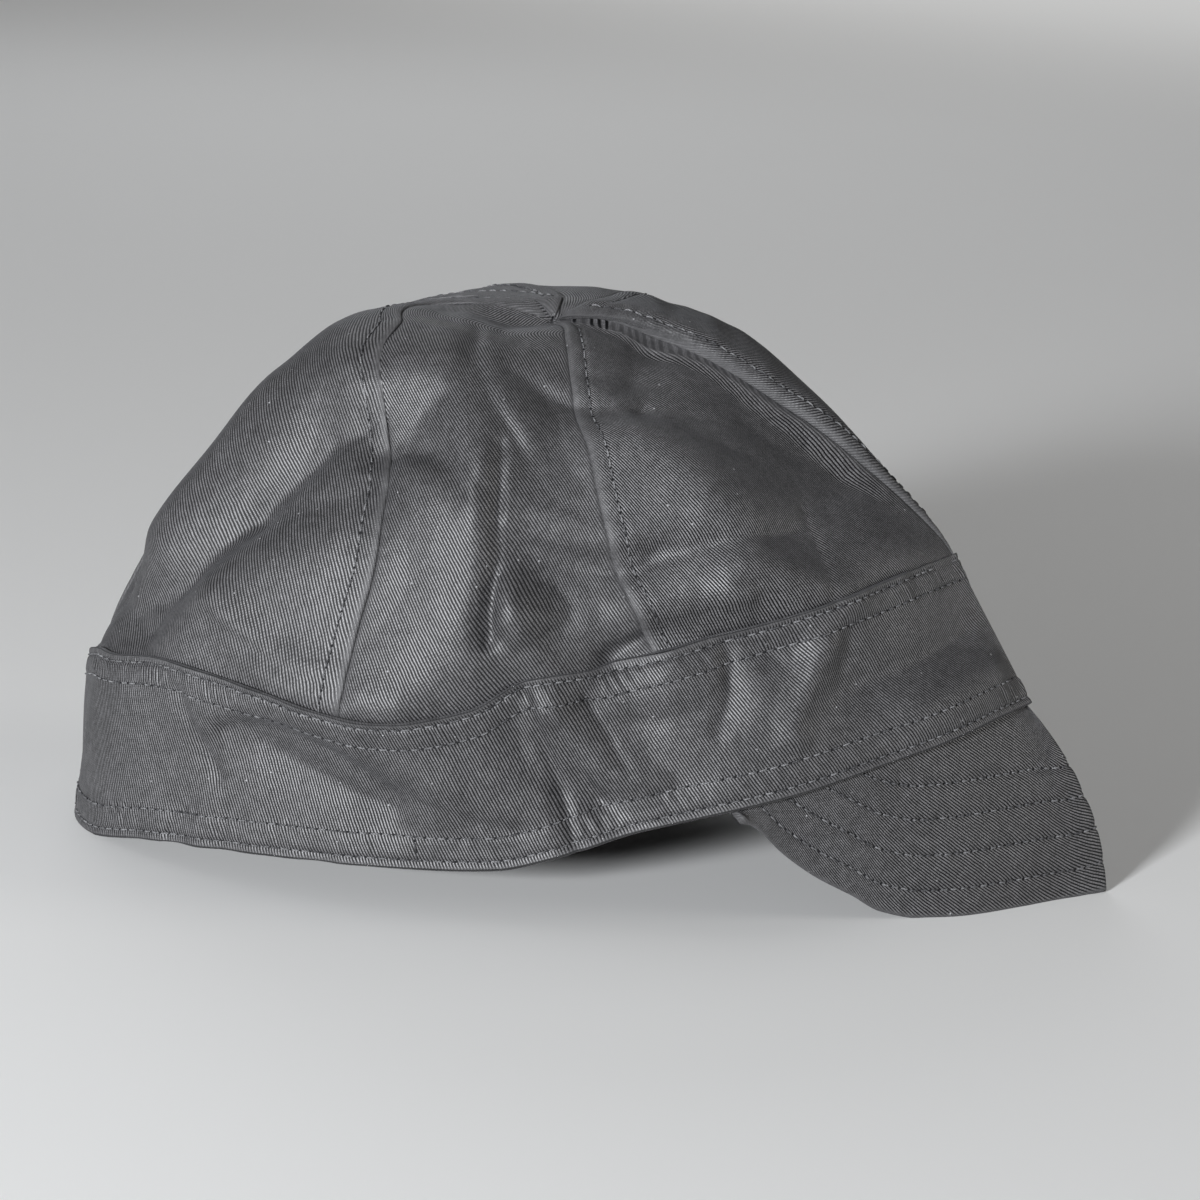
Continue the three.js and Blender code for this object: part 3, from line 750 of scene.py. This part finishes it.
def border(grid):
    """Points round the border of a grid, and the point inside each of them."""
    rows, columns = grid.shape
    across, down = np.arange(columns - 1), np.arange(rows - 1)
    i = np.concatenate([0 * across, down, 0 * across + rows - 1, rows - 1 - down])
    j = np.concatenate([across, 0 * down + columns - 1, columns - 1 - across, 0 * down])
    return grid[i, j], grid[np.clip(i, 1, rows - 2), np.clip(j, 1, columns - 2)]


def cloth_mesh(name, sheet, closed_round=False):
    """Closed body of cloth between a sheet's outer and inner points, with rounded edges."""
    outer, inner = sheet.outer.reshape(-1, 3), sheet.inner.reshape(-1, 3)
    flat, rubbed = sheet.cloth.reshape(-1, 2), sheet.wear.ravel()
    size = len(outer)
    grid = np.arange(size).reshape(sheet.outer.shape[:2])
    if closed_round:
        loops = [(grid[0, ::-1], grid[1, ::-1]), (grid[-1], grid[-2])]
        grid = np.concatenate([grid, grid[:, :1]], 1)
    else:
        loops = [border(grid)]
    points, cloth, wear = [outer, inner], [flat, flat], [rubbed, np.zeros(size)]
    corners = np.stack([grid[:-1, :-1], grid[:-1, 1:], grid[1:, 1:], grid[1:, :-1]], -1)
    corners = corners.reshape(-1, 4)
    faces = [corners[:, [0, 3, 2, 1]], corners + size]
    base = 2 * size
    for ring, beside in loops:
        outward = unit(outer[ring] - outer[beside])
        onward = unit(flat[ring] - flat[beside])
        quarter = length_of(outer[ring] - inner[ring])[:, None] * math.pi / 8
        strips = [ring]
        for k, extra in enumerate(rounded_edge(outer[ring], inner[ring], outward)):
            points.append(extra)
            cloth.append(flat[ring] + onward * quarter * (k + 1))
            wear.append(np.maximum(rubbed[ring], EDGE_WEAR))
            strips.append(base + np.arange(len(ring)))
            base += len(ring)
        strips.append(ring + size)
        for low, high in zip(strips[:-1], strips[1:]):
            faces.append(np.stack([low, np.roll(low, -1), np.roll(high, -1), high], -1))
    return make_mesh(name, *(np.concatenate(part) for part in (points, faces, cloth, wear)))


def put(name, data):
    """An object of the scene."""
    made = bpy.data.objects.new(name, data)
    bpy.context.collection.objects.link(made)
    return made


def make_mesh(name, points, faces, cloth, wear):
    mesh = bpy.data.meshes.new(name)
    mesh.vertices.add(len(points))
    mesh.vertices.foreach_set("co", (points * MM).ravel())
    mesh.loops.add(faces.size)
    mesh.loops.foreach_set("vertex_index", faces.ravel())
    mesh.polygons.add(len(faces))
    mesh.polygons.foreach_set("loop_start", np.arange(0, faces.size, 4))
    mesh.update(calc_edges=True)
    mesh.validate()
    index = np.empty(len(mesh.loops), int)
    mesh.loops.foreach_get("vertex_index", index)
    flat_map = mesh.uv_layers.new(name="cloth")
    flat_map.data.foreach_set("uv", cloth[index].ravel() / MAP_UNIT)
    mesh.attributes.new("wear", "FLOAT", "POINT").data.foreach_set("value", wear)
    mesh.polygons.foreach_set("use_smooth", np.ones(len(mesh.polygons), bool))
    return put(name, mesh)


# Rows of thread, and nearly black discs of painted shade at the needle holes between the stitches
THREAD_RADIUS = 0.22
THREAD_SIDES = 6
THREAD_STEPS = 7
THREAD_LIFT = 0.1
THREAD_ARCH = 0.14
THREAD_SINK = 0.3
STITCH_PITCH = 2.75
STITCH_GAP = 0.55
FIRST_STITCH = 0.4
ROW_STEP = 0.25
HOLE_RADIUS = 0.3
HOLE_SIDES = 8
HOLE_LENGTHENING = 1.2
HOLE_LIFT = 0.05
HOLE_MIDDLE_LIFT = 0.07
THREAD_SLOT, HOLE_SHADE_SLOT = 0, 1


def row_where(sheet, field, value, by_row):
    """Points and directions of the line on a sheet where a field has a value."""
    amount, points, normal = sheet.fields[field], sheet.outer, sheet.normal
    if not by_row:
        amount, points, normal = amount.T, points.swapaxes(0, 1), normal.swapaxes(0, 1)
    found, ways = [], []
    for measure, place, way in zip(amount, points, normal):
        if measure[0] > measure[-1]:
            measure, place, way = measure[::-1], place[::-1], way[::-1]
        limit = int(np.argmax(measure)) + 1
        if measure[0] > value or measure[limit - 1] < value:
            continue
        j = min(max(int(np.searchsorted(measure[:limit], value)), 1), limit - 1)
        t = (value - measure[j - 1]) / max(measure[j] - measure[j - 1], 1e-6)
        found.append(place[j - 1] + (place[j] - place[j - 1]) * t)
        ways.append(way[j - 1] + (way[j] - way[j - 1]) * t)
    return np.array(found), unit(np.array(ways))


class Threads:
    """Collects short runs of thread, and nearly black discs of painted shade at the needle holes
    between them, into one mesh.
    """

    def __init__(self, seed):
        self.points, self.faces, self.kinds = [], [], []
        self.count = 0
        self.rng = np.random.default_rng(seed)

    def add(self, points, faces, kind):
        self.points.append(points)
        self.faces.append(np.asarray(faces) + self.count)
        self.kinds.append(np.full(len(faces), kind))
        self.count += len(points)

    def tube(self, path, side, up, radius):
        """A run of thread along a path, drawn in at both ends."""
        turn = np.arange(THREAD_SIDES) * 2 * math.pi / THREAD_SIDES
        share = np.linspace(0, 1, len(path))
        size = radius * np.clip(np.sin(math.pi * np.clip(share, 0.04, 0.96)) * 2.2, 0.35, 1)
        ring = side[:, None] * np.cos(turn)[:, None] + up[:, None] * np.sin(turn)[:, None]
        points = path[:, None] + ring * size[:, None, None]
        grid = np.arange(len(path) * THREAD_SIDES).reshape(-1, THREAD_SIDES)
        beside = np.roll(grid, -1, axis=1)
        faces = np.stack([grid[:-1], beside[:-1], beside[1:], grid[1:]], -1).reshape(-1, 4)
        ends = [grid[0, [3, 2, 1, 0]], grid[0, [5, 4, 3, 0]],
                grid[-1, [0, 1, 2, 3]], grid[-1, [0, 3, 4, 5]]]
        self.add(points.reshape(-1, 3), np.concatenate([faces, ends]), THREAD_SLOT)

    # A disc of painted shade lying just above the cloth at a needle hole
    def hole(self, centre, side, along, up):
        turn = (np.arange(HOLE_SIDES) * 2 * math.pi / HOLE_SIDES)[:, None]
        radius = HOLE_RADIUS * self.rng.uniform(0.8, 1.15)
        ring = side * np.cos(turn) + along * np.sin(turn) * HOLE_LENGTHENING
        points = np.concatenate([centre + up * HOLE_LIFT + radius * ring,
                                 (centre + up * HOLE_MIDDLE_LIFT)[None]])
        faces = [(j, j + 1, (j + 2) % HOLE_SIDES, HOLE_SIDES) for j in range(0, HOLE_SIDES, 2)]
        self.add(points, faces, HOLE_SHADE_SLOT)

    def row(self, points, normals):
        """A row of running stitches along a line on the cloth."""
        run = run_along(points)
        at = np.arange(0, run[-1], ROW_STEP)
        line = np.stack([np.interp(at, run, points[:, i]) for i in range(3)], -1)
        up = unit(np.stack([np.interp(at, run, normals[:, i]) for i in range(3)], -1))
        for _ in range(2):
            line[1:-1] = (line[:-2] + 2 * line[1:-1] + line[2:]) / 4
        along = unit(np.gradient(line, axis=0))
        side = unit(np.cross(along, up))
        share = np.linspace(0, 1, THREAD_STEPS)
        arch = THREAD_LIFT + THREAD_ARCH * np.sin(math.pi * share)
        arch = arch - THREAD_SINK * np.abs(2 * share - 1) ** 6
        place = FIRST_STITCH
        while place + STITCH_PITCH < at[-1]:
            pitch = STITCH_PITCH * self.rng.uniform(0.92, 1.08)
            ends = int(place / ROW_STEP), int((place + pitch - STITCH_GAP) / ROW_STEP)
            pick = np.round(np.linspace(*ends, THREAD_STEPS)).astype(int)
            pick = np.clip(pick, 0, len(line) - 1)
            slant = self.rng.uniform(-0.12, 0.12) * (share - 0.5)
            path = line[pick] + up[pick] * arch[:, None] + side[pick] * slant[:, None]
            self.tube(path, side[pick], up[pick], THREAD_RADIUS * self.rng.uniform(0.85, 1.1))
            middle = min(int((place + pitch - STITCH_GAP / 2) / ROW_STEP), len(line) - 1)
            self.hole(line[middle], side[middle], along[middle], up[middle])
            place += pitch

    def piece(self, name, materials):
        mesh = bpy.data.meshes.new(name)
        points = np.concatenate(self.points) * MM
        mesh.from_pydata(points.tolist(), [], np.concatenate(self.faces).tolist())
        mesh.polygons.foreach_set("material_index", np.concatenate(self.kinds))
        mesh.polygons.foreach_set("use_smooth", np.ones(len(mesh.polygons), bool))
        for material in materials:
            mesh.materials.append(material)
        return put(name, mesh)


class Nodes:
    """Short hand for a material's node tree."""

    def __init__(self, name):
        self.material = bpy.data.materials.new(name)
        self.material.use_nodes = True
        self.tree = self.material.node_tree
        self.place = self.node("ShaderNodeTexCoord").outputs["Object"]

    def node(self, kind, inputs=(), **settings):
        """A new node with its settings, fed with numbers, colours or other nodes' outputs."""
        made = self.tree.nodes.new(kind)
        for key, value in settings.items():
            setattr(made, key, value)
        self.feed(made, inputs)
        return made

    def feed(self, node, inputs):
        for key, value in dict(inputs).items():
            if isinstance(value, (int, float)):
                node.inputs[key].default_value = value
            elif isinstance(value, tuple):
                node.inputs[key].default_value = (*value, 1)
            else:
                self.tree.links.new(value, node.inputs[key])

    def math(self, operation, *values):
        return self.node("ShaderNodeMath", enumerate(values), operation=operation).outputs[0]

    def times(self, first, second):
        return self.math("MULTIPLY", first, second)

    def plus(self, first, second):
        return self.math("ADD", first, second)

    def wave(self, turns):
        """A wave between 0 and 1, once for each turn."""
        sine = self.math("SINE", self.times(turns, 2 * math.pi))
        return self.math("MULTIPLY_ADD", sine, 0.5, 0.5)

    def ramp(self, value, low, high, to_low=0.0, to_high=1.0):
        inputs = {"Value": value, "From Min": low, "From Max": high,
                  "To Min": to_low, "To Max": to_high}
        made = self.node("ShaderNodeMapRange", inputs, interpolation_type="SMOOTHSTEP")
        return made.outputs["Result"]

    def mix(self, share, first, second, blend="MIX"):
        made = self.node("ShaderNodeMix", data_type="RGBA", blend_type=blend)
        self.feed(made, {0: share, 6: first, 7: second})
        return made.outputs[2]

    def noise(self, scale, detail=2.0, roughness=0.5):
        inputs = {"Vector": self.place, "Scale": scale, "Detail": detail, "Roughness": roughness}
        return self.node("ShaderNodeTexNoise", inputs).outputs["Fac"]

    def bump(self, height, strength, distance):
        inputs = {"Height": height, "Strength": strength, "Distance": distance}
        return self.node("ShaderNodeBump", inputs).outputs[0]

    def surface(self, inputs):
        """The finished material, from its shader's inputs."""
        self.feed(self.tree.nodes["Principled BSDF"], inputs)
        return self.material


# Twill in millimetres: its slanting lines, and the short floats along them, which are
# shifted from line to line
TWILL_PITCH = 0.7
YARN_PITCH = 0.58
FLOAT_SHIFT = 0.37
FLOAT_DEPTH = 0.35
# How far the lines stray, in pitches
LINE_WOBBLE = 0.55
# Colours of the gaps between the yarns, nearly black as painted shade in the weave's hollows, of
# the yarn, and of lint caught on the cloth
GAP_SHADE_COLOUR = (0.004, 0.0039, 0.0042)
YARN_COLOUR = (0.13, 0.1275, 0.132)
LINT_COLOUR = (0.42, 0.42, 0.43)
YARN_GLOSS = (0.92, 0.92, 0.92)
SHEEN_COLOUR = (0.8, 0.85, 0.95)
# Rubbed edges lose this share of their lines, for an even tone, and turn paler
RUBBED_PLAIN = 0.85
RUBBED_TONE = 0.34
RUBBED_PALE = 0.14
# Heights in the bump, in millimetres
YARN_BUMP = 0.07
CRUMPLE_BUMP = 0.4
FUZZ_BUMP = 0.04
LINT_BUMP = 0.15


def twill(name, line_angle, relief):
    """Cotton twill: slanting ridges of short yarn floats, lint, fuzz and worn edges.

    The relief, 0 to 1, says how much the lines stand out: how deep the painted shade in the gaps
    between the yarns is, and how bright the yarn.
    """
    # Fainter lines: lighter painted shade in the gaps, and slightly dimmer yarn
    fainter_lines = 1 - relief
    gap_shade = tuple(c * (1 + 2.5 * fainter_lines) for c in GAP_SHADE_COLOUR)
    light = tuple(c * (1 - 0.35 * fainter_lines) for c in YARN_COLOUR)
    gap_shade_gloss = (0.06 + 0.4 * fainter_lines,) * 3
    n = Nodes(name)
    flat = n.node("ShaderNodeUVMap", uv_map="cloth").outputs["UV"]
    u, v = (n.times(axis, MAP_UNIT)
            for axis in n.node("ShaderNodeSeparateXYZ", {0: flat}).outputs[:2])
    sine, cosine = math.sin(math.radians(line_angle)), math.cos(math.radians(line_angle))
    across = n.plus(n.times(u, -sine), n.times(v, cosine))
    along = n.plus(n.times(u, cosine), n.times(v, sine))
    wobble = n.times(n.math("SUBTRACT", n.noise(260), 0.5), LINE_WOBBLE)
    across = n.plus(n.math("DIVIDE", across, TWILL_PITCH), wobble)
    shift = n.times(n.math("FLOOR", across), FLOAT_SHIFT)
    floats = n.wave(n.plus(n.math("DIVIDE", along, YARN_PITCH), shift))
    floats = n.math("MULTIPLY_ADD", floats, FLOAT_DEPTH, 1 - FLOAT_DEPTH)
    yarn = n.times(n.ramp(n.wave(across), 0.12, 0.88), floats)
    fuzz = n.noise(2200, 2.0, 0.6)
    weave = n.times(yarn, n.ramp(fuzz, 0.25, 0.75, 0.55, 1.4))

    wear = n.node("ShaderNodeAttribute", attribute_name="wear").outputs["Fac"]
    worn = n.ramp(wear, 0.1, 1.0)
    plain = n.times(worn, RUBBED_PLAIN)
    weave = n.plus(n.times(weave, n.math("SUBTRACT", 1.0, plain)), n.times(plain, RUBBED_TONE))
    patches = n.ramp(n.noise(45, 3.0, 0.55), 0.3, 0.7, 0.86, 1.14)
    streaks = n.ramp(n.noise(420, 2.0, 0.6), 0.3, 0.7, 0.82, 1.18)
    tone = n.times(patches, streaks)
    grey = n.node("ShaderNodeCombineColor", enumerate([tone] * 3)).outputs[0]
    # The yarn's colour, with painted shade in the gaps between the yarns
    colour = n.mix(1.0, n.mix(weave, gap_shade, light), grey, "MULTIPLY")
    uneven = n.times(worn, n.ramp(n.noise(700, 3.0), 0.3, 0.7, 0.25, 0.9))
    pale = tuple(c * 1.6 + 0.02 for c in light)
    colour = n.mix(n.times(uneven, RUBBED_PALE), colour, pale)

    speck = n.node("ShaderNodeTexVoronoi", {"Vector": n.place, "Scale": 230}).outputs["Distance"]
    lint = n.math("SUBTRACT", 1.0, n.ramp(speck, 0.035, 0.075))
    lint = n.times(lint, n.ramp(n.noise(62), 0.45, 0.6))
    colour = n.mix(n.times(lint, 0.75), colour, LINT_COLOUR)
    height = n.plus(n.times(yarn, YARN_BUMP), n.times(n.noise(190, 3.0, 0.55), CRUMPLE_BUMP))
    height = n.plus(height, n.times(fuzz, FUZZ_BUMP))
    height = n.plus(height, n.times(lint, LINT_BUMP))
    return n.surface({
        "Base Color": colour,
        "Roughness": n.ramp(weave, 0.05, 0.6, 0.64, 0.52),
        # Reflection is cut down in the gaps between the yarns, as painted shade in the weave's
        # hollows
        "Specular Tint": n.mix(n.ramp(weave, 0.05, 0.65), gap_shade_gloss, YARN_GLOSS),
        "Specular IOR Level": 1.0,
        "Sheen Weight": 0.03,
        "Sheen Roughness": 0.45,
        "Sheen Tint": SHEEN_COLOUR,
        "Normal": n.bump(height, 0.9, MM),
    })


THREAD_DARK = (0.05, 0.05, 0.053)
THREAD_LIGHT = (0.2, 0.2, 0.205)
THREAD_SHADE = (0.03, 0.03, 0.032)
# Painted shade in the needle holes
HOLE_SHADE_DARK = (0.008, 0.008, 0.009)


def thread():
    """Spun thread: two plies twisted together, faded unevenly."""
    n = Nodes("crown_thread")
    wave = n.node("ShaderNodeTexWave", {"Vector": n.place, "Scale": 900, "Distortion": 1.5},
                  wave_type="BANDS", bands_direction="DIAGONAL")
    ply = wave.outputs["Fac"]
    colour = n.mix(n.ramp(n.noise(330), 0.35, 0.65), THREAD_DARK, THREAD_LIGHT)
    return n.surface({
        "Base Color": n.mix(n.times(ply, 0.4), colour, THREAD_SHADE),
        "Roughness": n.ramp(ply, 0, 1, 0.7, 0.9),
        "Specular IOR Level": 0.3,
        "Normal": n.bump(ply, 0.6, 0.0001),
    })


# Nearly black, as painted shade in the needle holes
def hole_shade_material():
    n = Nodes("needle_hole_painted_shade")
    return n.surface({
        "Base Color": n.mix(n.noise(1500), HOLE_SHADE_DARK, THREAD_SHADE),
        "Roughness": 1.0,
        "Specular IOR Level": 0.05,
    })


def dress(piece, node, material):
    piece.data.materials.append(material)
    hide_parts(node)
    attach(piece, "root")


panel_sheets = {}
for panel in PANELS:
    side, grain, relief = panel[0], panel[4], panel[5]
    sheet = crown_sheet(panel)
    panel_sheets[side] = sheet
    cloth = twill(f"twill_crown_{side}", grain, relief)
    dress(cloth_mesh(f"gore_{side}", sheet), f"crown_panel_{side}", cloth)

band_cloth = band_sheet()
dress(cloth_mesh("cap_band", band_cloth, closed_round=True), "band",
      twill("twill_band", 72, 0.7))
visor_cloth = visor_sheet()
dress(cloth_mesh("cap_visor", visor_cloth), "visor",
      twill("twill_visor", 37, 0.95))

crown_rows = Threads(5)
for seam, (side, _, distance, _) in LAPS.items():
    crown_rows.row(*row_where(panel_sheets[side], seam, distance, by_row=True))
band_rows = Threads(6)
for field, rows in (("from_top", TOP_ROWS), ("from_rim", RIM_ROWS)):
    for distance, _, _ in rows:
        line = row_where(band_cloth, field, distance, by_row=False)
        band_rows.row(*(np.concatenate([part, part[:1]]) for part in line))
# A short row closes the turned hem where its ends meet
rim_x, rim_y = band_cloth.outer[0, :, 0], band_cloth.outer[0, :, 1]
join = int(np.argmin(np.where(rim_y > 0, np.inf, np.abs(rim_x - HEM_JOIN_X))))
up_hem = band_cloth.fields["from_rim"][:, join]
in_hem = (up_hem > 1) & (up_hem < RIM_ROWS[1][0])
band_rows.row(band_cloth.outer[in_hem, join], band_cloth.normal[in_hem, join])
visor_rows = Threads(7)
for distance in VISOR_ROWS:
    visor_rows.row(*row_where(visor_cloth, "from_edge", distance, by_row=False))
thread_materials = [thread(), hole_shade_material()]
for rows, name, slot in ((crown_rows, "topstitching_crown", "crown_twill"),
                         (band_rows, "topstitching_band", "band_twill"),
                         (visor_rows, "topstitching_visor", "visor_twill")):
    piece = rows.piece(name, thread_materials)
    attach(piece, "root")

# Floor
FLOOR_HALF = 6.0
corners = [(x * FLOOR_HALF, y * FLOOR_HALF, 0) for x, y in ((-1, -1), (1, -1), (1, 1), (-1, 1))]
floor_mesh = bpy.data.meshes.new("floor")
floor_mesh.from_pydata(corners, [], [(0, 1, 2, 3)])
paper = Nodes("floor_paper").surface({"Base Color": (0.86, 0.86, 0.85), "Roughness": 0.9})
floor_mesh.materials.append(paper)
floor = put("floor", floor_mesh)

# Camera, in millimetres and degrees
CAMERA_AZIMUTH, CAMERA_HEIGHT_ANGLE, CAMERA_ROLL = 5.0, 15.0, 3.94
CAMERA_DISTANCE = 800.0
CAMERA_TARGET = Vector((-1.7, 0.0, 63.0))
FRAME_WIDTH = 296.4
SENSOR = 36.0

turn, height, roll = (
    math.radians(a) for a in (CAMERA_AZIMUTH, CAMERA_HEIGHT_ANGLE, CAMERA_ROLL))
back = Vector((math.sin(turn) * math.cos(height), -math.cos(turn) * math.cos(height),
               math.sin(height)))
right = Vector((math.cos(turn), math.sin(turn), 0))
up = back.cross(right)
rolled_right = math.cos(roll) * right + math.sin(roll) * up
rolled_up = -math.sin(roll) * right + math.cos(roll) * up
camera_data = bpy.data.cameras.new("camera")
camera_data.sensor_width = SENSOR
camera_data.lens = SENSOR * CAMERA_DISTANCE / FRAME_WIDTH
camera_data.clip_start, camera_data.clip_end = 0.05, 20
camera = put("camera", camera_data)
turned = Matrix((rolled_right, rolled_up, back)).transposed().to_4x4()
camera.matrix_world = Matrix.Translation((CAMERA_TARGET + back * CAMERA_DISTANCE) * MM) @ turned
bpy.context.scene.camera = camera


def soft_light(name, place, target, size, power, colour):
    """A square lamp aimed at a target, in metres and watts."""
    data = bpy.data.lights.new(name, "AREA")
    data.shape = "SQUARE"
    data.size, data.energy, data.color = size, power, colour
    lamp = put(name, data)
    lamp.location = place
    lamp.rotation_mode = "QUATERNION"
    aim = Vector(target) - Vector(place)
    lamp.rotation_quaternion = aim.to_track_quat("-Z", "Y")
    return lamp


def around_camera(side, height, distance):
    """A place at angles to the side of the camera and above the floor, in metres."""
    a, e = math.radians(CAMERA_AZIMUTH + side), math.radians(height)
    return (math.sin(a) * math.cos(e) * distance, -math.cos(a) * math.cos(e) * distance,
            math.sin(e) * distance + 0.06)


COOL, WARM = (0.95, 0.97, 1.0), (1.0, 0.98, 0.95)
CAP_MIDDLE = (0, 0, 0.05)
soft_light("key", around_camera(-28, 13, 1.7), (0, 0, 0.06), 0.22, 46, COOL)
soft_light("front_fill", around_camera(90, 14, 1.8), CAP_MIDDLE, 0.6, 7.5, WARM)
soft_light("rear_fill", around_camera(195, 35, 2.0), CAP_MIDDLE, 1.0, 5, COOL)
soft_light("top", (0.0, 0.4, 1.8), CAP_MIDDLE, 1.2, 3, (1.0, 0.975, 0.95))
# Lights the floor far behind the cap and not the cap
backdrop = soft_light("backdrop", (0.3, 3.4, 3.0), (0.3, 3.4, 0), 2.0, 14, (1.0, 1.0, 1.0))
backdrop.data.spread = math.radians(80)

world = bpy.data.worlds.new("studio")
world.use_nodes = True
sky = world.node_tree.nodes["Background"]
sky.inputs["Color"].default_value = (0.98, 0.99, 1.0, 1)
sky.inputs["Strength"].default_value = 0.08
bpy.context.scene.world = world
bpy.context.scene.view_settings.view_transform = "Standard"
